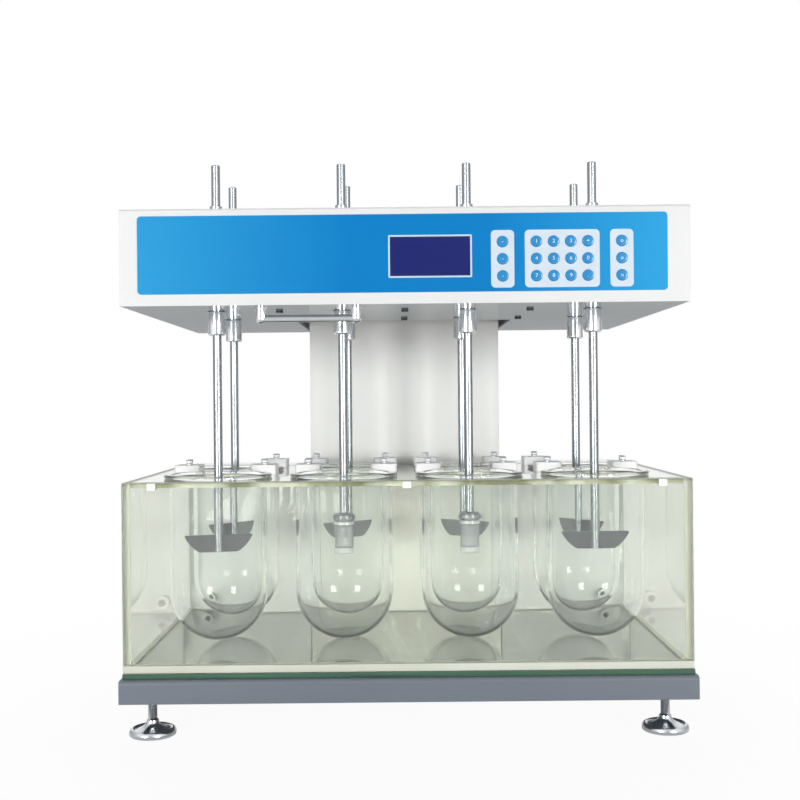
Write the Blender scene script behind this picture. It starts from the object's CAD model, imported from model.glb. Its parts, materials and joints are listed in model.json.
"""Dresses a bench dissolution tester: finishes, detailed pieces and a plain photo stage."""

import json
import math

import bmesh
import bpy
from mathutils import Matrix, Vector

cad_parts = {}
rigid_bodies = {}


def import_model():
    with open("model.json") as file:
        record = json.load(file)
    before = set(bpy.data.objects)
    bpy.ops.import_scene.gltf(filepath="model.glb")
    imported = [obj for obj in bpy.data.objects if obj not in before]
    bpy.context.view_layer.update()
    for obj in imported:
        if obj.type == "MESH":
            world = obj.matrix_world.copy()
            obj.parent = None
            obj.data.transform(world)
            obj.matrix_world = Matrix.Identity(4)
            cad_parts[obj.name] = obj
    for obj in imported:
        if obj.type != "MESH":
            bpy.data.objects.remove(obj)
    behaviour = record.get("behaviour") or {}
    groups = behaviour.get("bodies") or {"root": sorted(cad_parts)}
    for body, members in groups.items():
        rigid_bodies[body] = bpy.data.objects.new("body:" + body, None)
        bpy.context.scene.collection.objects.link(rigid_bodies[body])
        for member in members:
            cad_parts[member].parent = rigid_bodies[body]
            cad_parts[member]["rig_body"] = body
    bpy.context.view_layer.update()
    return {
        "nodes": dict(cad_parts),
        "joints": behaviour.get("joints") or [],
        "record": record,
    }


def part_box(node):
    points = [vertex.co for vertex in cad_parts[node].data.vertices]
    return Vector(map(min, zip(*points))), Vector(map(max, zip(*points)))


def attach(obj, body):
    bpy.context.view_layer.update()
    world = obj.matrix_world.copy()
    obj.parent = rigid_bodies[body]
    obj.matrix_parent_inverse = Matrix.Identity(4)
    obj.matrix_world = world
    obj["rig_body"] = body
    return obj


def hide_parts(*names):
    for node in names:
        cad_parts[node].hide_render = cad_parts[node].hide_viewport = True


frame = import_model()

bl_info = {
    "name": "Dissolution Tester",
    "version": (1, 0, 0),
    "blender": (4, 5, 0),
    "location": "View3D > Sidebar > Tester",
    "description": "Finishes and detailed pieces for a bench dissolution tester",
    "category": "Object",
}

MM = 0.001
QUARTER = math.pi / 2
STATIONS = range(1, 9)
BASKETS = (2, 3)
KEYS = range(1, 19)
KEY_FIELDS = {"left": range(1, 4), "middle": range(4, 16), "right": range(16, 19)}
KEY_MARKS = "---123+4560789.ooo"
FEET = range(1, 5)

# Corners closer than MERGE are one, corners within TOUCH of a face lie on it, and the normal
# of a face that lies across an axis has more than FLAT of its length along it.
MERGE = 0.002 * MM
TOUCH = 0.01 * MM
FLAT = 0.99

# Turned outlines as (radius, height) points in millimetres. The pieces that build them add the
# radius and the height from which an outline is measured.
FOOT_DISC = [
    (0, 0.4), (20, 0.4), (21, 0), (23.4, 0), (24.6, 0.9), (25, 2.4), (24.9, 4.4), (24.2, 6.4),
    (22.8, 7.7), (21.2, 8), (19.8, 7.4), (19, 6.4), (18.2, 6.3), (12, 8.8),
]
FOOT_COLLAR = [(4.2, 10.8), (2.6, 12.4), (1.9, 14.4), (1.4, 16.4), (0.6, 17)]
THREAD = [(0, 0), (-0.45, 0.62)]
THREAD_START = 18
THREAD_PITCH = 1.25
STUD_END = [(-0.4, -0.6), (-1, 0)]
SCREW_STEM = [(0, 0), (2.3, 0), (2.5, 0.5)]
SCREW_NECK = [(-0.9, 0.05), (-0.9, 1.2), (-0.5, 1.25), (0, 1.8)]
SCREW_RIM = [(0, -0.7), (-0.4, -0.15), (-0.9, 0)]
SCREW_DISH = [(2.2, 0), (1.8, -0.4), (0, -0.5)]
KEY_SKIRT = [(0, 0), (7, 0), (7, 1), (5.95, 1)]
KEY_FACE = [(4.4, -0.04), (3.3, 0), (0, 0)]
BASKET_CAP = [
    (0, 1), (9.5, 1), (11.2, 1.3), (11.6, 3), (12.3, 3.3), (12.5, 3.8), (12.5, 7), (12.2, 7.5),
    (11.2, 7.7), (10.6, 9.2), (9.8, 9.5), (6, 9.6), (5.4, 9.9), (4.9, 10.6),
]
SHAFT_END = [(4.9, -1), (4.6, -0.3), (3.9, 0), (0, 0)]
UPPER_RING = [(-1.2, 0.8), (-1.2, -2.8), (0.5, -3), (0.8, -2.6), (0.8, 0.6), (0.5, 0.9)]
LOWER_RING = [(-2.4, 5.8), (-2.4, 0.2), (-0.3, 0), (0, 0.4), (0, 5.6), (-0.4, 6)]
PAN_HEAD = [(0, -0.2), (3.1, -0.2), (3.2, 0.5), (2.9, 1.1), (2.2, 1.5), (0, 1.6)]

# Place, width and height in metres, watts, and whether metal and glass show the lamp.
LAMPS = (
    ((-2.2, -3.8, 0.68), 1.0, 1.2, 77, True),
    ((2.2, -3.8, 0.66), 1.0, 1.2, 73, True),
    ((0, 2.4, 3.2), 3.0, 1.6, 115, False),
)
LAMP_AIM = Vector((0, 0, 0.3))


def srgb(red, green, blue):
    """Colour of a finish from its 8-bit display values, in linear light."""
    parts = []
    for value in (red / 255, green / 255, blue / 255):
        parts.append(value / 12.92 if value <= 0.04045 else ((value + 0.055) / 1.055) ** 2.4)
    return tuple(parts)


def colour_prop(name, description, shade):
    """Colour property of a finish."""
    return bpy.props.FloatVectorProperty(
        name=name, description=description, subtype="COLOR", size=3, min=0, max=1,
        default=srgb(*shade),
    )


def length_prop(name, description, millimetres):
    """Length property in metres, with its default in millimetres."""
    return bpy.props.FloatProperty(
        name=name, description=description, unit="LENGTH", subtype="DISTANCE",
        default=millimetres * MM,
    )


class TesterColours(bpy.types.PropertyGroup):
    """Colours of the tester's finishes."""

    cover: colour_prop("Cover", "Powder coat of the drive head's cover", (228, 229, 228))
    plate: colour_prop("Base plate", "Paint of the plate under the drive head", (164, 178, 186))
    column: colour_prop("Column", "Powder coat of the column", (250, 250, 246))
    cabinet: colour_prop("Cabinets", "Powder coat of the rear cabinets", (240, 240, 243))
    tray: colour_prop("Tray", "Powder coat of the base tray", (115, 123, 133))
    panel_deep: colour_prop("Panel, deep", "Deep blue of the panel's print", (0, 124, 194))
    panel_pale: colour_prop("Panel, pale", "Paler blue towards the panel's ends", (40, 160, 218))
    field: colour_prop("Key fields", "Pale fields under the keys", (208, 222, 233))
    key: colour_prop("Keys", "Moulded colour of the keys", (22, 140, 203))
    screen: colour_prop("Screen", "Unlit liquid-crystal screen", (0, 18, 106))
    acrylic: colour_prop("Acrylic", "Tint of the clear bath panels", (243, 245, 239))
    edge: colour_prop("Acrylic edge", "Sawn edges of the bath walls", (186, 190, 176))
    plate_edge: colour_prop("Plate edge", "Sawn edge of the vessel plate", (118, 122, 82))
    glass: colour_prop("Vessels", "Tint of the vessels' glass", (254, 255, 255))
    sheet: colour_prop("Glass sheet", "Green tint of the sheet's edges", (78, 118, 96))
    nylon: colour_prop("Nylon", "White of the hold-down blocks", (252, 252, 249))


class TesterSizes(bpy.types.PropertyGroup):
    """Sizes of the small forms that the dressed tester adds."""

    sheet_edge: length_prop("Sheet edge", "Rounding of cut sheet edges", 0.5)
    panel_edge: length_prop("Panel edge", "Polished corner of the bath panels", 0.6)
    bead: length_prop("Seam bead", "Cement in the corners of the bath's floor", 3.2)
    bond_gap: length_prop("Bond line", "Gap at the bonded joints of the bath", 0.15)
    vessel_bore: length_prop("Vessel radius", "Inside radius of a vessel", 51)
    vessel_wall: length_prop("Vessel wall", "Wall of a vessel", 3)
    flange: length_prop("Flange", "Thickness of a vessel's flange", 4.5)
    field_height: length_prop("Field height", "Emboss of the key fields", 0.2)
    frame_line: length_prop("Display frame", "Width of the line round the display", 1.6)
    wire: length_prop("Mesh wire", "Thickness of the basket's wires", 0.42)


def assign(thing, **values):
    """Sets attributes of a thing."""
    for key, value in values.items():
        setattr(thing, key, value)


def colours():
    return bpy.context.scene.tester_colours


def sizes():
    return bpy.context.scene.tester_sizes


class Socket:
    """Shader socket that takes part in Python sums."""

    def __init__(self, nodes, socket):
        self.nodes = nodes
        self.socket = socket

    def sum(self, operation, *values):
        """Math node on some values."""
        return self.nodes.node("Math", dict(enumerate(values)), operation=operation)

    def __add__(self, other):
        return self.sum("ADD", self, other)

    def __radd__(self, other):
        return self.sum("ADD", other, self)

    def __sub__(self, other):
        return self.sum("SUBTRACT", self, other)

    def __rsub__(self, other):
        return self.sum("SUBTRACT", other, self)

    def __mul__(self, other):
        return self.sum("MULTIPLY", self, other)

    def __rmul__(self, other):
        return self.sum("MULTIPLY", other, self)

    def __gt__(self, other):
        return self.sum("GREATER_THAN", self, other)

    def __abs__(self):
        return self.sum("ABSOLUTE", self)


class Nodes:
    """Node tree of a finish, of the floor or of the world."""

    def __init__(self, tree):
        self.tree = tree

    def node(self, kind, inputs=None, output=0, **settings):
        """Adds a node, sets it up, feeds its sockets and returns one of its outputs."""
        made = self.tree.nodes.new(f"ShaderNode{kind}")
        assign(made, **settings)
        for key, value in (inputs or {}).items():
            self.feed(made.inputs[key], value)
        return Socket(self, made.outputs[output])

    def feed(self, socket, value):
        """Links a socket or sets its value."""
        if isinstance(value, Socket):
            self.tree.links.new(value.socket, socket)
        else:
            socket.default_value = value

    def outputs(self, socket, names):
        """Outputs of a socket's node."""
        return [Socket(self, socket.socket.node.outputs[name]) for name in names]

    def mix(self, factor, first, second):
        """Mix of two colours."""
        return self.node("Mix", {0: factor, 6: first, 7: second}, 2, data_type="RGBA")

    def ramp(self, factor, stops):
        """Value or colour along a ramp of (position, grey or colour) stops."""
        made = self.node("ValToRGB", {"Fac": factor})
        elements = made.socket.node.color_ramp.elements
        while len(elements) < len(stops):
            elements.new(1)
        for element, (position, shade) in zip(elements, stops):
            element.position = position
            element.color = shade if isinstance(shade, tuple) else (shade, shade, shade, 1)
        return made

    def parts(self, vector):
        """X, Y and Z of a vector."""
        return self.outputs(self.node("SeparateXYZ", {"Vector": vector}), "XYZ")

    def rays(self):
        """Tests for what the camera sees, what a gloss mirrors and what a clear piece shows."""
        kinds = ("Is Camera Ray", "Is Glossy Ray", "Is Transmission Ray")
        return self.outputs(self.node("LightPath"), kinds)


class Finish(Nodes):
    """Material with one principled shader."""

    def __init__(self, name):
        self.material = bpy.data.materials.new(f"{name}_finish")
        self.material.use_nodes = True
        super().__init__(self.material.node_tree)
        self.shader = self.tree.nodes["Principled BSDF"]
        self.place = self.node("TexCoord", output="Object")

    def noise(self, scale, detail=2, roughness=0.5):
        """Noise over a piece; its scale is one number, or one along each axis."""
        place = self.place
        if isinstance(scale, tuple):
            place = self.node("Mapping", {"Vector": place, "Scale": scale})
            scale = 1
        sockets = {"Vector": place, "Scale": scale, "Detail": detail, "Roughness": roughness}
        return self.node("TexNoise", sockets)

    def bump(self, height, strength, distance):
        """Normal bent by a height, with its distance in millimetres."""
        sockets = {"Strength": strength, "Distance": distance * MM, "Height": height}
        return self.node("Bump", sockets)

    def set(self, **sockets):
        """Feeds sockets of the shader, named with underscores."""
        for name, value in sockets.items():
            self.feed(self.shader.inputs[name.replace("_", " ")], value)
        return self.material


def tone(colour, factor=1.0):
    """Colour with alpha, from a property's name or display values, brighter by a factor."""
    parts = getattr(colours(), colour)[:3] if isinstance(colour, str) else srgb(*colour)
    return tuple(min(1.0, part * factor) for part in parts) + (1.0,)


def powder_coat(name, colour, roughness, peel=0.1):
    """Baked powder: orange peel, with a slight cloud in tone and gloss."""
    f = Finish(name)
    cloud = f.noise(7, 3)
    grain = f.noise(1100, 2)
    speck = f.noise(420, 1)
    return f.set(
        Base_Color=f.mix(cloud * 0.75 + speck * 0.25, tone(colour, 0.95), tone(colour, 1.05)),
        Roughness=cloud * 0.12 + (roughness - 0.06),
        Normal=f.bump(grain, peel, 0.12),
    )


def gloss_paint(name, colour):
    """Gloss paint, smooth enough to mirror the chucks and the column."""
    f = Finish(name)
    cloud = f.noise(6, 3)
    return f.set(
        Base_Color=f.mix(cloud, tone(colour, 0.96), tone(colour, 1.04)),
        Roughness=cloud * 0.04 + 0.05,
        Normal=f.bump(f.noise(160, 2), 0.02, 0.1),
    )


def polished(name, colour, roughness, mark=0.03):
    """Plated or polished metal with faint wiping marks."""
    f = Finish(name)
    haze = f.noise(60, 4, 0.65)
    wipe = f.noise((900, 900, 40), 2)
    return f.set(
        Base_Color=f.mix(haze, tone(colour, 0.94), tone(colour, 1.04)),
        Metallic=1.0,
        Roughness=haze * 0.06 + wipe * mark + (roughness - 0.04),
    )


def brushed(name, colour, stretch, roughness):
    """Ground or brushed metal with scratches along one axis."""
    f = Finish(name)
    lines = f.noise(stretch, 3, 0.6)
    haze = f.noise(35, 3)
    return f.set(
        Base_Color=f.mix(lines, tone(colour, 0.86), tone(colour, 1.1)),
        Metallic=1.0,
        Roughness=lines * 0.16 + haze * 0.08 + (roughness - 0.12),
        Normal=f.bump(lines, 0.12, 0.05),
    )


def clear_plate(name, tint, index, wave, lets_through):
    """Clear sheet with faint smears and a slight wave, and a light shadow."""
    f = Finish(name)
    smear = f.noise((14, 14, 5), 4, 0.7)
    shadow = f.node("LightPath", output="Is Shadow Ray")
    return f.set(
        Base_Color=f.mix(smear, tone(tint, 0.98), tone(tint)),
        Roughness=0.0,
        IOR=index,
        Transmission_Weight=1.0,
        Alpha=1 - shadow * lets_through,
        Normal=f.bump(f.noise(18, 1), wave, 1.0),
    )


def sawn_edge(name, tint, pale, spread):
    """Sawn and scraped acrylic edge that glows with the light inside the panel."""
    f = Finish(name)
    saw = f.noise(700, 3)
    drift = f.ramp(f.noise(spread, 2), [(0.4, 0), (0.6, 1)])
    return f.set(
        Base_Color=f.mix(drift, tone(tint), tone(pale)),
        Roughness=saw * 0.2 + 0.3,
        IOR=1.49,
        Transmission_Weight=0.08,
        Normal=f.bump(saw, 0.15, 0.08),
    )


def glass_edge(name, tint):
    """Cut edge of float glass."""
    f = Finish(name)
    drift = f.noise((9, 9, 300), 3)
    return f.set(
        Base_Color=f.mix(drift, tone(tint, 0.55), tone(tint, 1.5)),
        Roughness=drift * 0.1 + 0.08,
        IOR=1.52,
        Transmission_Weight=0.2,
    )


def moulded(name, colour, roughness, texture=0.08, coat=0.0):
    """Moulded plastic with a fine skin and a little drift in tone."""
    f = Finish(name)
    skin = f.noise(1800, 2)
    drift = f.noise(40, 3)
    return f.set(
        Base_Color=f.mix(drift, tone(colour, 0.93), tone(colour, 1.06)),
        Roughness=skin * 0.1 + drift * 0.08 + (roughness - 0.09),
        Coat_Weight=coat,
        Normal=f.bump(skin, texture, 0.06),
    )


def printed_film(name, deep, pale):
    """Back-printed film: deep in the middle, paler at the ends, with a fine velvet face."""
    f = Finish(name)
    x = f.parts(f.place)[0] + f.noise(14, 2) * 0.03
    ends = {"Value": x, "From Min": -0.29, "From Max": 0.3}
    across = f.node("MapRange", ends)
    skin = f.noise(2600, 1)
    stops = [(0, tone(pale, 0.96)), (0.42, tone(deep)), (0.66, tone(deep)), (1, tone(pale, 1.03))]
    return f.set(
        Base_Color=f.ramp(across, stops),
        Roughness=skin * 0.1 + 0.36,
        Specular_IOR_Level=0.12,
        Normal=f.bump(skin, 0.06, 0.04),
    )


def crystal_screen(name, colour, rim):
    """Unlit liquid-crystal screen: fine dot grid and a dark border."""
    f = Finish(name)
    x, _, z = f.parts(f.place)
    low, high = window_box()
    middle = (low + high) / 2
    half = (high - low) / 2
    line = 1.6 * MM
    side = abs(x - middle.x) > half.x - line
    lid = abs(z - middle.z) > half.z - line
    grid = {"Vector": f.place, "Scale": 1600, "Randomness": 0.0}
    dots = f.node("TexVoronoi", grid, distance="CHEBYCHEV")
    face = f.mix(dots, tone(colour, 1.12), tone(colour, 0.8))
    return f.set(
        Base_Color=f.mix(side.sum("MAXIMUM", side, lid), face, tone(rim)),
        Roughness=f.noise(30, 3) * 0.08 + 0.16,
        Coat_Weight=0.1,
    )


# Maker of each finish, its colour as a property's name or display values, and its other values.
FINISHES = {
    "cover_paint": (powder_coat, "cover", 0.42),
    "plate_paint": (gloss_paint, "plate"),
    "column_paint": (powder_coat, "column", 0.4),
    "cabinet_paint": (powder_coat, "cabinet", 0.4),
    "tray_paint": (powder_coat, "tray", 0.4, 0.14),
    "motor_paint": (powder_coat, (58, 60, 64), 0.45),
    "chrome": (polished, (236, 238, 241), 0.14),
    "shaft_steel": (polished, (164, 169, 173), 0.24, 0.08),
    "mesh_wire": (polished, (240, 243, 245), 0.32),
    "foot_plating": (polished, (222, 225, 228), 0.2),
    "pin_metal": (polished, (196, 190, 172), 0.2),
    "zinc": (polished, (206, 208, 210), 0.24, 0.1),
    "ground_steel": (brushed, (170, 172, 175), (2200, 2200, 60), 0.3),
    "machined_aluminium": (brushed, (196, 199, 203), (40, 2400, 2400), 0.34),
    "turned_aluminium": (brushed, (190, 193, 197), (60, 60, 3200), 0.3),
    "satin_nickel": (brushed, (238, 240, 242), (60, 60, 3200), 0.5),
    "acrylic": (clear_plate, "acrylic", 1.49, 0.01, 0.8),
    "vessel_glass": (clear_plate, "glass", 1.47, 0.02, 0.99),
    "sheet_glass": (clear_plate, (216, 242, 222), 1.52, 0.01, 0.88),
    "acrylic_edge": (sawn_edge, "edge", (184, 187, 174), 9),
    "floor_edge": (sawn_edge, (222, 227, 209), (232, 236, 222), 9),
    "plate_edge": (sawn_edge, "plate_edge", (200, 204, 184), 26),
    "green_edge": (glass_edge, "sheet"),
    "blade_steel": (moulded, (66, 71, 78), 0.42, 0.04),
    "nylon": (moulded, "nylon", 0.45),
    "white_plastic": (moulded, (222, 223, 216), 0.42),
    "black_plastic": (moulded, (34, 35, 38), 0.4),
    "belt_rubber": (moulded, (30, 30, 31), 0.7, 0.3),
    "key_plastic": (moulded, "key", 0.24, 0.03, 0.4),
    "key_mark": (moulded, (232, 240, 248), 0.4),
    "field_print": (moulded, "field", 0.42, 0.05),
    "frame_print": (moulded, (194, 216, 236), 0.4, 0.05),
    "panel_film": (printed_film, "panel_deep", "panel_pale"),
    "screen_glass": (crystal_screen, "screen", (24, 40, 84)),
}


def finish(name):
    """Material of that name, made on first use."""
    make, *values = FINISHES[name]
    return bpy.data.materials.get(f"{name}_finish") or make(name, *values)


def leave_edit():
    """Back to object mode."""
    bpy.ops.object.mode_set(mode="OBJECT")


def clear():
    """Object mode, with nothing selected."""
    if bpy.context.mode != "OBJECT":
        leave_edit()
    bpy.ops.object.select_all(action="DESELECT")


def activate(piece):
    """Selects one piece alone."""
    clear()
    piece.select_set(True)
    bpy.context.view_layer.objects.active = piece


def newest(name):
    """Object that an operator has just added, under its name."""
    piece = bpy.context.active_object
    piece.name = name
    return piece


def edit(piece):
    """Edit mode on one piece, all of it selected."""
    activate(piece)
    bpy.ops.object.mode_set(mode="EDIT")
    bpy.ops.mesh.select_mode(type="VERT")
    bpy.ops.mesh.select_all(action="SELECT")


def pick(piece, kind, test):
    """Selects, in edit mode, the faces or edges that pass a test."""
    bpy.ops.mesh.select_mode(type=kind)
    bpy.ops.mesh.select_all(action="DESELECT")
    mesh = bmesh.from_edit_mesh(piece.data)
    for part in mesh.faces if kind == "FACE" else mesh.edges:
        part.select_set(test(part))
    bmesh.update_edit_mesh(piece.data)


def ends_of(edge):
    """Places of an edge's two ends."""
    return [corner.co for corner in edge.verts]


def modify(piece, kind, **settings):
    """Adds a modifier and applies it."""
    activate(piece)
    modifier = piece.modifiers.new(kind.title(), kind)
    assign(modifier, **settings)
    bpy.ops.object.modifier_apply(modifier=modifier.name)


def round_edges(piece, width, angle):
    """Rounds the edges that are sharper than an angle."""
    modify(piece, "BEVEL", width=width, segments=2, limit_method="ANGLE", angle_limit=angle)


def smooth(piece, angle=30):
    """Smooth shading below an angle in degrees, with large faces kept flat."""
    activate(piece)
    bpy.ops.object.shade_smooth_by_angle(angle=math.radians(angle))
    modify(piece, "WEIGHTED_NORMAL", keep_sharp=True)


def seat(piece):
    """Moves a piece's place into its mesh."""
    activate(piece)
    bpy.ops.object.transform_apply(location=True, rotation=True, scale=True)


def stand(piece, rotation, spot):
    """Turns a piece and sets it on its spot."""
    piece.rotation_euler = rotation
    piece.location = spot
    seat(piece)


def turn(name, profile, steps=64):
    """Turned solid from (radius, height) points in millimetres, spun round the Z axis."""
    clear()
    bpy.ops.mesh.primitive_plane_add(size=MM)
    piece = newest(name)
    edit(piece)
    bpy.ops.mesh.merge(type="CENTER")
    at = Vector((0, 0, 0))
    for count, (radius, height) in enumerate(profile):
        point = Vector((radius * MM, 0, height * MM))
        if count == 0:
            bpy.ops.transform.translate(value=point - at)
        else:
            bpy.ops.mesh.extrude_vertices_move(TRANSFORM_OT_translate={"value": point - at})
        at = point
    bpy.ops.mesh.select_all(action="SELECT")
    bpy.ops.mesh.spin(steps=steps, angle=2 * math.pi, center=(0, 0, 0), axis=(0, 0, 1))
    bpy.ops.mesh.select_all(action="SELECT")
    bpy.ops.mesh.remove_doubles(threshold=MERGE)
    bpy.ops.mesh.normals_make_consistent(inside=False)
    leave_edit()
    smooth(piece)
    return piece


def arc(centre, radius, start, end, count):
    """Points of an arc in an outline, angles in degrees."""
    points = []
    for k in range(count + 1):
        angle = math.radians(start + (end - start) * k / count)
        points.append((centre[0] + radius * math.cos(angle), centre[1] + radius * math.sin(angle)))
    return points


def raised(outline, radius, height):
    """Outline moved out by a radius and up by a height."""
    return [(r + radius, z + height) for r, z in outline]


def slab(name, low, high, edge=0.0):
    """Box from corner to corner, with rounded edges where they are asked for."""
    clear()
    low = Vector(low)
    high = Vector(high)
    bpy.ops.mesh.primitive_cube_add(size=1, location=(low + high) / 2, scale=high - low)
    piece = newest(name)
    seat(piece)
    if edge:
        edit(piece)
        bpy.ops.mesh.bevel(offset=edge, segments=2, affect="EDGES")
        leave_edit()
    smooth(piece)
    return piece


def peg(radius, x, z, front, back):
    """Round cutter from front to back."""
    clear()
    bpy.ops.mesh.primitive_cylinder_add(
        vertices=48, radius=radius, depth=back - front,
        location=(x, (front + back) / 2, z), rotation=(QUARTER, 0, 0),
    )
    made = newest("bore")
    seat(made)
    return made


def lettering(text, size, height):
    """Raised figure, lying at the origin."""
    clear()
    bpy.ops.object.text_add()
    made = newest("figure")
    assign(made.data, body=text, size=size, extrude=height, resolution_u=4)
    assign(made.data, align_x="CENTER", align_y="CENTER")
    bpy.ops.object.convert(target="MESH")
    return made


def move(piece, offset):
    """Moves a piece, its place kept in its mesh."""
    activate(piece)
    bpy.ops.transform.translate(value=offset)
    seat(piece)


def copy_of(piece, name, offset=(0, 0, 0)):
    """Copy of a piece with its own mesh, moved by an offset."""
    activate(piece)
    bpy.ops.object.duplicate(linked=False)
    twin = newest(name)
    move(twin, offset)
    return twin


def spread(first, spots):
    """Numbered copies of a piece on some spots, in place of the piece itself."""
    twins = [copy_of(first, f"{first.name}_{n}", spot) for n, spot in enumerate(spots, 1)]
    bpy.data.objects.remove(first)
    return twins


def join(pieces, name):
    """Joins pieces into the first one."""
    clear()
    for piece in pieces:
        piece.select_set(True)
    bpy.context.view_layer.objects.active = pieces[0]
    bpy.ops.object.join()
    pieces[0].name = name
    return pieces[0]


def cut(piece, cutter):
    """Cuts a shape out of a piece."""
    modify(piece, "BOOLEAN", operation="DIFFERENCE", object=cutter, solver="EXACT")
    bpy.data.objects.remove(cutter)


def paint(mesh, finishes, choose=None):
    """Finishes of a mesh; choose gives a face's one from its middle and normal."""
    mesh.materials.clear()
    for name in finishes:
        mesh.materials.append(finish(name))
    for face in mesh.polygons:
        face.material_index = int(choose(face.center, face.normal)) if choose else 0


def settle(piece, body, finishes, stands_for=(), choose=None):
    """Gives a finished piece its finishes, its body and the nodes it stands for."""
    paint(piece.data, finishes, choose)
    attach(piece, body)
    if stands_for:
        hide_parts(*stands_for)


def dress(node, name, finishes, edge=0.0, sharp=35, choose=None):
    """Merged copy of a node with rounded edges, which stands for it."""
    source = frame["nodes"][node]
    piece = bpy.data.objects.new(name, source.data.copy())
    bpy.context.scene.collection.objects.link(piece)
    edit(piece)
    bpy.ops.mesh.customdata_custom_splitnormals_clear()
    bpy.ops.mesh.remove_doubles(threshold=MERGE)
    bpy.ops.mesh.dissolve_limited(angle_limit=math.radians(0.2))
    leave_edit()
    if edge:
        round_edges(piece, edge, math.radians(sharp))
    smooth(piece, sharp)
    settle(piece, source["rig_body"], finishes, [node], choose)


def cut_edge(axis):
    """Choice of the second finish for the faces that don't lie across an axis."""
    return lambda centre, normal: abs(normal[axis]) <= FLAT


def corners(node):
    """Corners of a node's mesh."""
    return [vertex.co for vertex in frame["nodes"][node].data.vertices]


def extent(points):
    """Lowest and highest corner of some points."""
    axes = list(zip(*points))
    return Vector([min(axis) for axis in axes]), Vector([max(axis) for axis in axes])


def axis_between(low, high):
    """Upright axis midway between two corners."""
    return Vector(((low.x + high.x) / 2, (low.y + high.y) / 2, 0))


def axis_of(node):
    """Upright axis in the middle of a node."""
    return axis_between(*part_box(node))


def station(number):
    """Axis of a stirring station."""
    return axis_of(f"spindle_{number}")


def window_box():
    """Corners of the display's face inside the panel's window."""
    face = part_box("display")[0].y
    return extent([corner for corner in corners("display") if corner.y < face + TOUCH])


class Build:
    """Shared settings of the operators that build the tester."""

    bl_options = {"REGISTER", "UNDO"}


class TESTER_OT_stage(Build, bpy.types.Operator):
    """Sets the camera, the lamps, the world and a white floor"""

    bl_idname = "tester.stage"
    bl_label = "Stage"

    def execute(self, context):
        scene = context.scene
        scene.view_settings.view_transform = "Standard"
        assign(scene.cycles, max_bounces=28, transmission_bounces=28)
        assign(scene.cycles, glossy_bounces=8, transparent_max_bounces=40)
        clear()
        level = (QUARTER, math.radians(0.55), 0)
        bpy.ops.object.camera_add(location=(-0.008, -1.419, 0.355), rotation=level)
        scene.camera = context.active_object
        assign(scene.camera.data, sensor_width=36, lens=51.1, shift_x=0.0018, shift_y=0.0025)
        self.lamps()
        self.floor()
        self.world(scene)
        return {"FINISHED"}

    def lamps(self):
        """A tall soft lamp on each side of the camera, and a wide one behind and above."""
        for spot, width, height, power, seen in LAMPS:
            aim = LAMP_AIM - Vector(spot)
            bpy.ops.object.light_add(
                type="AREA", location=spot, rotation=aim.to_track_quat("-Z", "Y").to_euler()
            )
            lamp = bpy.context.active_object
            assign(lamp.data, shape="RECTANGLE", size=width, size_y=height, energy=power)
            assign(lamp, visible_camera=False, visible_glossy=seen, visible_transmission=seen)

    def floor(self):
        """A white sweep that keeps the tester's soft shadow."""
        clear()
        bpy.ops.mesh.primitive_plane_add(size=60)
        floor = newest("floor")
        material = bpy.data.materials.new("floor_white")
        material.use_nodes = True
        n = Nodes(material.node_tree)
        n.tree.nodes.remove(n.tree.nodes["Principled BSDF"])
        camera, glossy, through = n.rays()
        white = n.node("Emission", {"Color": (1, 1, 1, 1), "Strength": 1.0})
        matt = n.node("BsdfDiffuse", {"Color": (0.86, 0.86, 0.86, 1)})
        place = n.node("TexCoord", output="Object")
        away = n.node("VectorMath", {0: place}, "Value", operation="LENGTH")
        bright = n.ramp(away, [(0.35, 0.95), (0.9, 1.0)])
        shown = (camera + through) * bright + glossy * 0.25
        mixed = n.node("MixShader", {0: shown, 1: matt, 2: white})
        n.feed(n.tree.nodes["Material Output"].inputs["Surface"], mixed)
        floor.data.materials.append(material)

    def world(self, scene):
        """White to the eye, softer for light, and grey at the sides in metal and glass."""
        scene.world = bpy.data.worlds.new("studio")
        scene.world.use_nodes = True
        n = Nodes(scene.world.node_tree)
        camera, glossy, through = n.rays()
        x, y, z = n.parts(n.node("TexCoord", output="Generated"))
        round_about = abs(x.sum("ARCTAN2", x, 0 - y)) * (1 / math.pi)
        front = [(0, 0.4), (0.03, 0.45), (0.09, 0.95), (0.36, 1), (0.46, 0.65), (0.54, 0.4)]
        in_glass = n.ramp(round_about, [(0, 0.55), (0.1, 1)])
        in_metal = n.ramp(round_about, front + [(0.74, 0.35), (0.84, 1)])
        room = n.mix(glossy, in_glass, in_metal)
        shown = camera.sum("MAXIMUM", camera, glossy.sum("MAXIMUM", glossy, through))
        grey = n.mix((1 - camera) * (1 - abs(z) * 0.8), (1, 1, 1, 1), room)
        back = n.tree.nodes["Background"]
        n.feed(back.inputs["Color"], grey)
        n.feed(back.inputs["Strength"], 0.2 + shown * 0.8)


class TESTER_OT_sheet_metal(Build, bpy.types.Operator):
    """Finishes the folded sheet parts: tray, column, cabinets, head cover and base plate"""

    bl_idname = "tester.sheet_metal"
    bl_label = "Sheet metal"

    def execute(self, context):
        for node, name, coat in (
            ("base_tray", "tray_shell", "tray_paint"),
            ("column", "column_shell", "column_paint"),
            ("rear_cabinets", "cabinet_shells", "cabinet_paint"),
            ("head_cover", "head_shell", "cover_paint"),
            ("head_base_plate", "head_deck", "plate_paint"),
        ):
            dress(node, name, [coat], sizes().sheet_edge)
        return {"FINISHED"}


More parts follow.
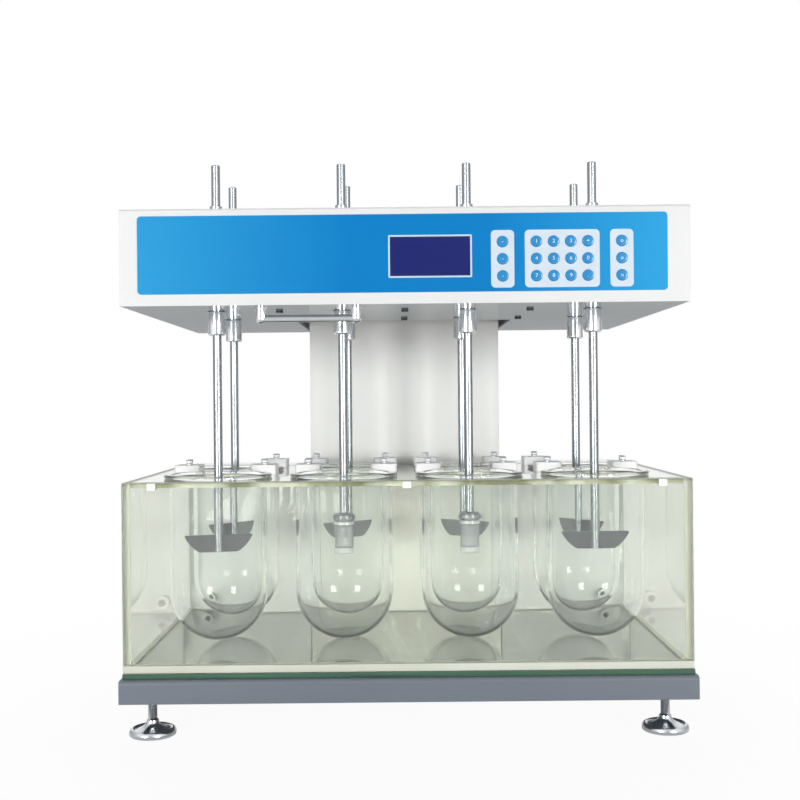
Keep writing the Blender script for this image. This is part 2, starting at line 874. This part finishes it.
class TESTER_OT_bath(Build, bpy.types.Operator):
    """Builds the bath from five acrylic panels, with its vessel plate and the glass sheet below"""

    bl_idname = "tester.bath"
    bl_label = "Bath"

    def execute(self, context):
        low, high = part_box("water_tank")
        plate_play = 0.4 * MM
        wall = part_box("vessel_plate")[0].x - low.x - plate_play
        gap = sizes().bond_gap
        floor_z = low.z + wall
        foot = floor_z + gap
        front = low.y + wall + gap
        rear = high.y - wall - gap
        spans = {
            "bath_floor": (low, (high.x, high.y, floor_z)),
            "bath_front": ((low.x, low.y, foot), (high.x, low.y + wall, high.z)),
            "bath_rear": ((low.x, high.y - wall, foot), high),
            "bath_left": ((low.x, front, foot), (low.x + wall, rear, high.z)),
            "bath_right": ((high.x - wall, front, foot), (high.x, rear, high.z)),
        }
        for name, (first, last) in spans.items():
            panel = slab(name, first, last, sizes().panel_edge)
            if name == "bath_rear":
                self.bore(panel)
            thin = min(range(3), key=lambda axis: last[axis] - first[axis])
            coats = ["acrylic", "floor_edge" if name == "bath_floor" else "acrylic_edge"]
            settle(panel, "base", coats, ["water_tank"], cut_edge(thin))
        self.seams(low, high, wall)
        dress("vessel_plate", "plate_panel", ["acrylic", "plate_edge"], 0.3 * MM, choose=cut_edge(2))
        dress("base_glass", "glass_sheet", ["sheet_glass", "green_edge"], 0.5 * MM, choose=cut_edge(2))
        return {"FINISHED"}

    def seams(self, low, high, wall):
        """Hollow beads of cement along the floor's two side seams."""
        bead = sizes().bead
        free = 0.05 * MM
        bottom = low.z + wall + free
        for name, wall_x, side in (("left", low.x + wall, 1), ("right", high.x - wall, -1)):
            near = wall_x + side * free
            far = near + side * bead
            piece = slab(
                f"seam_{name}",
                (min(near, far), low.y + wall + bead, bottom),
                (max(near, far), high.y - wall - bead, bottom + bead),
            )

            def crest(edge):
                ends = ends_of(edge)
                return all(abs(end.x - far) < free and end.z > bottom + free for end in ends)

            edit(piece)
            pick(piece, "EDGE", crest)
            bpy.ops.mesh.bevel(offset=bead * 0.85, segments=4, profile=0.3, affect="EDGES")
            leave_edit()
            settle(piece, "base", ["floor_edge"], ["water_tank"])

    def bore(self, panel):
        """Holes for the two water ports, where the node has them."""
        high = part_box("water_tank")[1]
        back = [corner for corner in corners("water_tank") if corner.y > high.y - TOUCH]
        rims = [corner for corner in back if abs(corner.x) < high.x - MM]
        for side in (-1, 1):
            first, last = extent([corner for corner in rims if corner.x * side > 0])
            middle = (first + last) / 2
            radius = (last.x - first.x) / 2
            cut(panel, peg(radius, middle.x, middle.z, high.y - 20 * MM, high.y + 10 * MM))


class TESTER_OT_vessels(Build, bpy.types.Operator):
    """Turns one round-bottomed vessel and copies it to every station"""

    bl_idname = "tester.vessels"
    bl_label = "Vessels"

    def execute(self, context):
        low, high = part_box("glass_vessels")
        inner = sizes().vessel_bore / MM
        wall = sizes().vessel_wall / MM
        outer = inner + wall
        lip = sizes().flange / MM
        flange = (high.x - station(4).x) / MM
        foot = low.z / MM
        rim = high.z / MM
        free = 0.05
        fillet = 2
        seat_z = rim - lip + free
        neck_z = seat_z - 12
        bowl = foot + outer
        profile = arc((0, bowl), outer, -90, 0, 20)
        profile += [(outer, neck_z), (outer, seat_z - fillet)]
        profile += arc((outer + fillet, seat_z - fillet), fillet, 180, 90, 4)
        profile += arc((flange - lip / 2, seat_z + lip / 2), lip / 2, -90, 90, 8)
        profile += arc((inner + fillet, rim - fillet), fillet, 90, 180, 5)
        profile += [(inner, neck_z)]
        profile += arc((0, bowl), inner, 0, -90, 20)
        profile[0] = (0, foot)
        profile[-1] = (0, foot + wall)
        first = turn("glass_vessel", profile, 96)
        for vessel in spread(first, map(station, STATIONS)):
            settle(vessel, "base", ["vessel_glass"], ["glass_vessels"])
        return {"FINISHED"}


class TESTER_OT_hold_downs(Build, bpy.types.Operator):
    """Finishes the nylon blocks and knurls their thumb-screws"""

    bl_idname = "tester.hold_downs"
    bl_label = "Hold-downs"

    def execute(self, context):
        dress("nylon_blocks", "hold_down_blocks", ["nylon"], 0.8 * MM)
        low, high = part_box("thumb_screws")
        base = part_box("nylon_blocks")[1].z / MM
        top = high.z / MM
        places = self.places()
        radius = max(
            min((corner - spot).xy.length for spot in places) for corner in corners("thumb_screws")
        )
        rim = radius / MM
        profile = raised(SCREW_STEM, 0, low.z / MM) + [(SCREW_STEM[-1][0], base)]
        profile += raised(SCREW_NECK, rim, base)
        profile += raised(SCREW_RIM, rim, top) + raised(SCREW_DISH, 0, top)
        facets = 40
        screw = turn("thumb_screw", profile, facets)
        self.knurl(screw, radius, facets)
        for made in spread(screw, places):
            settle(made, "base", ["satin_nickel"], ["thumb_screws"])
        return {"FINISHED"}

    def knurl(self, screw, radius, facets):
        """Grooves in every other facet of a screw's rim."""
        step = 2 * math.pi / facets

        def groove(face):
            centre = face.calc_center_median()
            number = round(math.atan2(centre.y, centre.x) / step - 0.5)
            outside = abs(face.normal.z) < 0.05 and centre.xy.length > radius - 0.1 * MM
            return outside and number % 2 == 0

        edit(screw)
        pick(screw, "FACE", groove)
        bpy.ops.mesh.inset(thickness=0.08 * MM, depth=-0.3 * MM, use_individual=True)
        leave_edit()

    def places(self):
        """Axis of every screw: the node's corners, grouped where they lie close together."""
        apart = 12 * MM
        groups = []
        for corner in corners("thumb_screws"):
            near = [group for group in groups if (corner - group[0]).xy.length < apart]
            if near:
                near[0].append(corner)
            else:
                groups.append([corner])
        spots = [axis_between(*extent(group)) for group in groups]
        return sorted(spots, key=lambda spot: (spot.y, spot.x))


class TESTER_OT_feet(Build, bpy.types.Operator):
    """Turns one levelling foot and copies it to the corners"""

    bl_idname = "tester.feet"
    bl_label = "Levelling feet"

    def execute(self, context):
        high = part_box("foot_1")[1]
        top = high.z / MM
        axis = axis_of("foot_1")
        upper = [corner for corner in corners("foot_1") if corner.z >= high.z - MM]
        stud = max((corner - axis).xy.length for corner in upper) / MM
        profile = FOOT_DISC + raised(FOOT_COLLAR, stud, 0)
        height = THREAD_START
        while height < top - 2:
            profile += raised(THREAD, stud, height)
            height += THREAD_PITCH
        profile += raised(STUD_END, stud, top) + [(0, top)]
        feet = [f"foot_{n}" for n in FEET]
        first = turn("levelling_foot", profile, 56)
        for foot, made in zip(feet, spread(first, map(axis_of, feet))):
            settle(made, foot, ["foot_plating"], [foot])
        return {"FINISHED"}


class TESTER_OT_control_panel(Build, bpy.types.Operator):
    """Builds the printed panel, the display with its frame and the fields under the keys"""

    bl_idname = "tester.control_panel"
    bl_label = "Control panel"

    def execute(self, context):
        dress("front_panel", "panel_sheet", ["panel_film"], 0.25 * MM)
        dress("display", "display_module", ["screen_glass"], 0.15 * MM)
        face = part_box("front_panel")[0].y
        line = sizes().frame_line
        lap = 0.2 * MM
        surround = self.plate("display_frame", window_box(), line, 1.2 * MM, face)
        edit(surround)
        pick(surround, "FACE", lambda face: True)
        bpy.ops.mesh.inset(thickness=line + lap, depth=0)
        bpy.ops.mesh.delete(type="FACE")
        leave_edit()
        self.emboss(surround, 0.25 * MM)
        settle(surround, "head", ["frame_print"])
        for side, numbers in KEY_FIELDS.items():
            self.field(f"key_field_{side}", [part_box(f"key_{n}") for n in numbers], face)
        return {"FINISHED"}

    def plate(self, name, box, margin, corner, face):
        """Flat outline round a box, with round corners, on the panel's face."""
        clear()
        low, high = box
        middle = (low + high) / 2
        spot = (middle.x, face, middle.z)
        bpy.ops.mesh.primitive_plane_add(size=1, location=spot, rotation=(QUARTER, 0, 0))
        piece = newest(name)
        piece.scale = (high.x - low.x + 2 * margin, high.z - low.z + 2 * margin, 1)
        seat(piece)
        edit(piece)
        bpy.ops.mesh.bevel(offset=corner, segments=6, affect="VERTICES")
        leave_edit()
        return piece

    def emboss(self, piece, height, holes=None):
        """Gives an outline its height in front of the panel, its holes and soft edges."""
        modify(piece, "SOLIDIFY", thickness=height, offset=1)
        if holes:
            cut(piece, holes)
        round_edges(piece, 0.06 * MM, 0.6)
        smooth(piece)

    def field(self, name, boxes, face):
        """Pale embossed field with a hole for each key."""
        ends = extent([corner for box in boxes for corner in box])
        piece = self.plate(name, ends, 5.2 * MM, 4.5 * MM, face)
        lap = 0.85 * MM
        deep = 3 * MM
        holes = []
        for low, high in boxes:
            middle = (low + high) / 2
            radius = (high.x - low.x) / 2 - lap
            holes.append(peg(radius, middle.x, middle.z, face - deep, face + deep))
        self.emboss(piece, sizes().field_height, join(holes, "bores"))
        settle(piece, "head", ["field_print"])


class TESTER_OT_keys(Build, bpy.types.Operator):
    """Turns the domed keys and marks them with plain figures"""

    bl_idname = "tester.keys"
    bl_label = "Keys"

    def execute(self, context):
        low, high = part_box("key_1")
        depth = (high.y - low.y) / MM
        crown = 1.1
        profile = KEY_SKIRT + arc((KEY_SKIRT[-1][0] - crown, depth - crown), crown, 0, 62, 5)
        profile += raised(KEY_FACE, 0, depth)
        first = turn("key_cap", profile, 48)
        upright = (QUARTER, 0, 0)
        stand(first, upright, (0, 0, 0))
        for n in KEYS:
            low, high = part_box(f"key_{n}")
            middle = (low + high) / 2
            cap = copy_of(first, f"key_cap_{n}", (middle.x, high.y, middle.z))
            mark = lettering(KEY_MARKS[n - 1], 5.6 * MM, 0.09 * MM)
            stand(mark, upright, (middle.x, low.y, middle.z))
            count = len(cap.data.polygons)
            join([cap, mark], f"key_cap_{n}")
            settle(cap, f"key_{n}", ["key_plastic", "key_mark"], [f"key_{n}"])
            for face in cap.data.polygons[count:]:
                face.material_index = 1
        bpy.data.objects.remove(first)
        return {"FINISHED"}


class TESTER_OT_handle(Build, bpy.types.Operator):
    """Finishes the pull handle"""

    bl_idname = "tester.handle"
    bl_label = "Pull handle"

    def execute(self, context):
        dress("pull_handle", "handle_bar", ["chrome"], sharp=40)
        return {"FINISHED"}


class TESTER_OT_spindles(Build, bpy.types.Operator):
    """Finishes the spindles: chrome chucks, turned pulleys and black collars"""

    bl_idname = "tester.spindles"
    bl_label = "Spindles"

    def execute(self, context):
        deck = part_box("head_base_plate")[0].z + MM
        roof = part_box("head_cover")[1].z - 4 * MM
        coats = ["chrome", "turned_aluminium", "black_plastic"]

        def zone(centre, normal):
            return 0 if centre.z < deck else 2 if centre.z > roof else 1

        for n in STATIONS:
            dress(f"spindle_{n}", f"chuck_{n}", coats, 0.3 * MM, 40, zone)
        return {"FINISHED"}


class TESTER_OT_stirrers(Build, bpy.types.Operator):
    """Finishes the paddles and weaves the baskets"""

    bl_idname = "tester.stirrers"
    bl_label = "Stirrers"

    def execute(self, context):
        for n in STATIONS:
            if n in BASKETS:
                self.basket(n)
            else:
                self.paddle(n)
        return {"FINISHED"}

    def paddle(self, n):
        """Paddle with rounded blade edges."""
        blade_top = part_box(f"paddle_{n}")[0].z + 20 * MM
        hub = 5 * MM
        axis = station(n)

        def on_blade(centre, normal):
            off_hub = (centre - axis).xy.length > hub or abs(normal.z) > 0.9
            return centre.z < blade_top and off_hub

        coats = ["shaft_steel", "blade_steel"]
        dress(f"paddle_{n}", f"stirrer_paddle_{n}", coats, 0.4 * MM, 40, on_blade)

    def basket(self, n):
        """Shaft with its cap, and a wire basket between two rings."""
        node = f"basket_{n}"
        low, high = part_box(node)
        foot = low.z / MM
        radius = 11.1
        cap = foot + 34
        shaft = raised(BASKET_CAP, 0, cap) + raised(SHAFT_END, 0, high.z / MM)
        stem = turn(f"basket_stem_{n}", shaft, 56)
        rings = []
        for outline, height in ((UPPER_RING, cap), (LOWER_RING, foot)):
            loop = raised(outline + outline[:1], radius, height)
            rings.append(turn("basket_ring", loop, 56))
        ring = join(rings, f"basket_rings_{n}")
        weave = self.weave(f"basket_mesh_{n}", (radius - 1) * MM, (foot + 1) * MM, cap * MM)
        for piece, coat in ((stem, "shaft_steel"), (ring, "chrome"), (weave, "mesh_wire")):
            move(piece, station(n))
            settle(piece, f"stirrer_{n}", [coat], [node])

    def weave(self, name, radius, low, high):
        """Diamond wire mesh: a tube of squares, poked, its upright and level edges dissolved."""
        columns = 36
        rows = 20
        step = 2 * math.pi / columns
        rise = (high - low) / rows
        near = rise / 9
        clear()
        bpy.ops.mesh.primitive_circle_add(vertices=columns, radius=radius, location=(0, 0, low))
        piece = newest(name)
        seat(piece)
        edit(piece)
        for _ in range(rows):
            bpy.ops.mesh.extrude_edges_move(TRANSFORM_OT_translate={"value": (0, 0, rise)})
        bpy.ops.mesh.select_all(action="SELECT")
        bpy.ops.mesh.poke()

        def square(edge):
            first, second = ends_of(edge)
            for end in (low, high):
                if abs(first.z - end) < near and abs(second.z - end) < near:
                    return False
            turned = abs(math.atan2(first.y, first.x) - math.atan2(second.y, second.x))
            return abs(first.z - second.z) < near or turned < step / 9

        pick(piece, "EDGE", square)
        bpy.ops.mesh.dissolve_edges(use_verts=False)
        pick(piece, "EDGE", lambda edge: max(end.z for end in ends_of(edge)) < low + near)
        bpy.ops.mesh.fill_grid()
        leave_edit()
        modify(piece, "WIREFRAME", thickness=sizes().wire, use_even_offset=True, use_boundary=True)
        smooth(piece, 60)
        return piece


class TESTER_OT_mechanism(Build, bpy.types.Operator):
    """Finishes the drive and the lift inside the head and the column"""

    bl_idname = "tester.mechanism"
    bl_label = "Mechanism"

    def execute(self, context):
        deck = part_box("head_base_plate")[0].z
        for node, coats, choose in (
            ("lift_mast", ["ground_steel"], None),
            (
                "spindle_bearings", ["machined_aluminium", "black_plastic"],
                lambda centre, normal: centre.z < deck - TOUCH,
            ),
            ("drive_motor", ["motor_paint"], None),
            ("motor_pulley", ["turned_aluminium"], None),
            ("drive_belts", ["belt_rubber"], None),
        ):
            paint(frame["nodes"][node].data, coats, choose)
        return {"FINISHED"}


class TESTER_OT_rear_fittings(Build, bpy.types.Operator):
    """Finishes the mains inlet, its switch and the bath's circulator"""

    bl_idname = "tester.rear_fittings"
    bl_label = "Rear fittings"

    def execute(self, context):
        dress("bath_circulator", "circulator", ["white_plastic"], 0.4 * MM)
        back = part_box("power_inlet")[1].y
        tips = back - 8 * MM
        roots = back - 16.5 * MM
        openings = frame["record"]["physics"]["openings"]
        socket = next(opening for opening in openings if opening["name"] == "mains_socket")
        mouth = (Vector(socket["box_m"][0]) + Vector(socket["box_m"][1])) / 2

        def on_pin(centre, normal):
            off = centre - mouth
            return abs(off.x) < 8.5 * MM and abs(off.z) < 6 * MM and roots < centre.y < tips

        dress("power_inlet", "mains_inlet", ["black_plastic", "pin_metal"], 0.3 * MM, choose=on_pin)
        self.rocker()
        return {"FINISHED"}

    def rocker(self):
        """Rocker with its two marks on the two slopes of its face."""
        dress("power_switch", "mains_rocker", ["black_plastic"], 0.5 * MM)
        joint = next(joint for joint in frame["joints"] if joint["child"] == "power_switch")
        tilt = math.radians(9)
        slope = math.atan2(1.4, 6.4)
        out = 5.1 * MM
        for sign, text in ((-1, "I"), (1, "O")):
            mark = lettering(text, 4.4 * MM, 0.08 * MM)
            mark.name = f"rocker_mark_{text}"
            up = sign * 3.2 * MM
            back = math.cos(tilt) * out - math.sin(tilt) * up
            rise = math.sin(tilt) * out + math.cos(tilt) * up
            spot = Vector(joint["pos_m"]) + Vector((0, back, rise))
            stand(mark, (QUARTER - sign * slope - tilt, 0, math.pi), spot)
            settle(mark, "power_switch", ["key_mark"])


class TESTER_OT_fasteners(Build, bpy.types.Operator):
    """Puts pan-head screws on the back of the column and the cabinets and on the head's sides"""

    bl_idname = "tester.fasteners"
    bl_label = "Fasteners"

    def execute(self, context):
        first = self.screw()
        backwards = (-QUARTER, 0, 0)
        spots = {"base": [], "head": []}
        low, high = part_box("column")
        half = high.x
        for x in (low.x + 12 * MM, high.x - 12 * MM):
            for z in (low.z + 20 * MM, (low.z + high.z) / 2, high.z - 60 * MM):
                spots["base"].append((backwards, (x, high.y, z)))
        low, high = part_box("rear_cabinets")
        for side in (-1, 1):
            for x in (half + 9 * MM, high.x - 9 * MM):
                for z in (low.z + 12 * MM, high.z - 12 * MM):
                    spots["base"].append((backwards, (side * x, high.y, z)))
        low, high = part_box("head_cover")
        for side in (-1, 1):
            for y in (low.y + 60 * MM, (low.y + high.y) / 2, high.y - 60 * MM):
                sideways = (0, side * QUARTER, 0)
                spots["head"].append((sideways, (side * high.x, y, low.z + 9 * MM)))
        for body, places in spots.items():
            screws = []
            for rotation, spot in places:
                made = copy_of(first, "screw")
                stand(made, rotation, spot)
                screws.append(made)
            settle(join(screws, f"{body}_screws"), body, ["zinc"])
        bpy.data.objects.remove(first)
        return {"FINISHED"}

    def screw(self):
        """Pan head with a cross recess, its seat at the origin and its top along Z."""
        head = turn("pan_screw", PAN_HEAD, 32)
        top = (0, 0, PAN_HEAD[-1][1] * MM)
        bar = (3.4 * MM, 0.7 * MM, 1.5 * MM)
        for angle in (0, QUARTER):
            clear()
            bpy.ops.mesh.primitive_cube_add(
                size=1, location=top, rotation=(0, 0, angle), scale=bar
            )
            cutter = newest("recess")
            seat(cutter)
            cut(head, cutter)
        smooth(head)
        return head


class TESTER_PT_panel(bpy.types.Panel):
    """Steps, sizes and colours of the tester"""

    bl_idname = "TESTER_PT_panel"
    bl_label = "Dissolution tester"
    bl_space_type = "VIEW_3D"
    bl_region_type = "UI"
    bl_category = "Tester"

    def draw(self, context):
        for step in STEPS:
            self.layout.operator(step.bl_idname)
        for group in (context.scene.tester_sizes, context.scene.tester_colours):
            for name in group.__annotations__:
                self.layout.prop(group, name)


STEPS = (
    TESTER_OT_stage,
    TESTER_OT_sheet_metal,
    TESTER_OT_bath,
    TESTER_OT_vessels,
    TESTER_OT_hold_downs,
    TESTER_OT_feet,
    TESTER_OT_control_panel,
    TESTER_OT_keys,
    TESTER_OT_handle,
    TESTER_OT_spindles,
    TESTER_OT_stirrers,
    TESTER_OT_mechanism,
    TESTER_OT_rear_fittings,
    TESTER_OT_fasteners,
)
CLASSES = (TesterColours, TesterSizes) + STEPS + (TESTER_PT_panel,)


def register():
    for kind in CLASSES:
        bpy.utils.register_class(kind)
    bpy.types.Scene.tester_colours = bpy.props.PointerProperty(type=TesterColours)
    bpy.types.Scene.tester_sizes = bpy.props.PointerProperty(type=TesterSizes)


def unregister():
    del bpy.types.Scene.tester_sizes
    del bpy.types.Scene.tester_colours
    for kind in reversed(CLASSES):
        bpy.utils.unregister_class(kind)


def main():
    """Builds every step in order."""
    register()
    for step in STEPS:
        group, name = step.bl_idname.split(".")
        getattr(getattr(bpy.ops, group), name)()


if __name__ == "__main__":
    main()
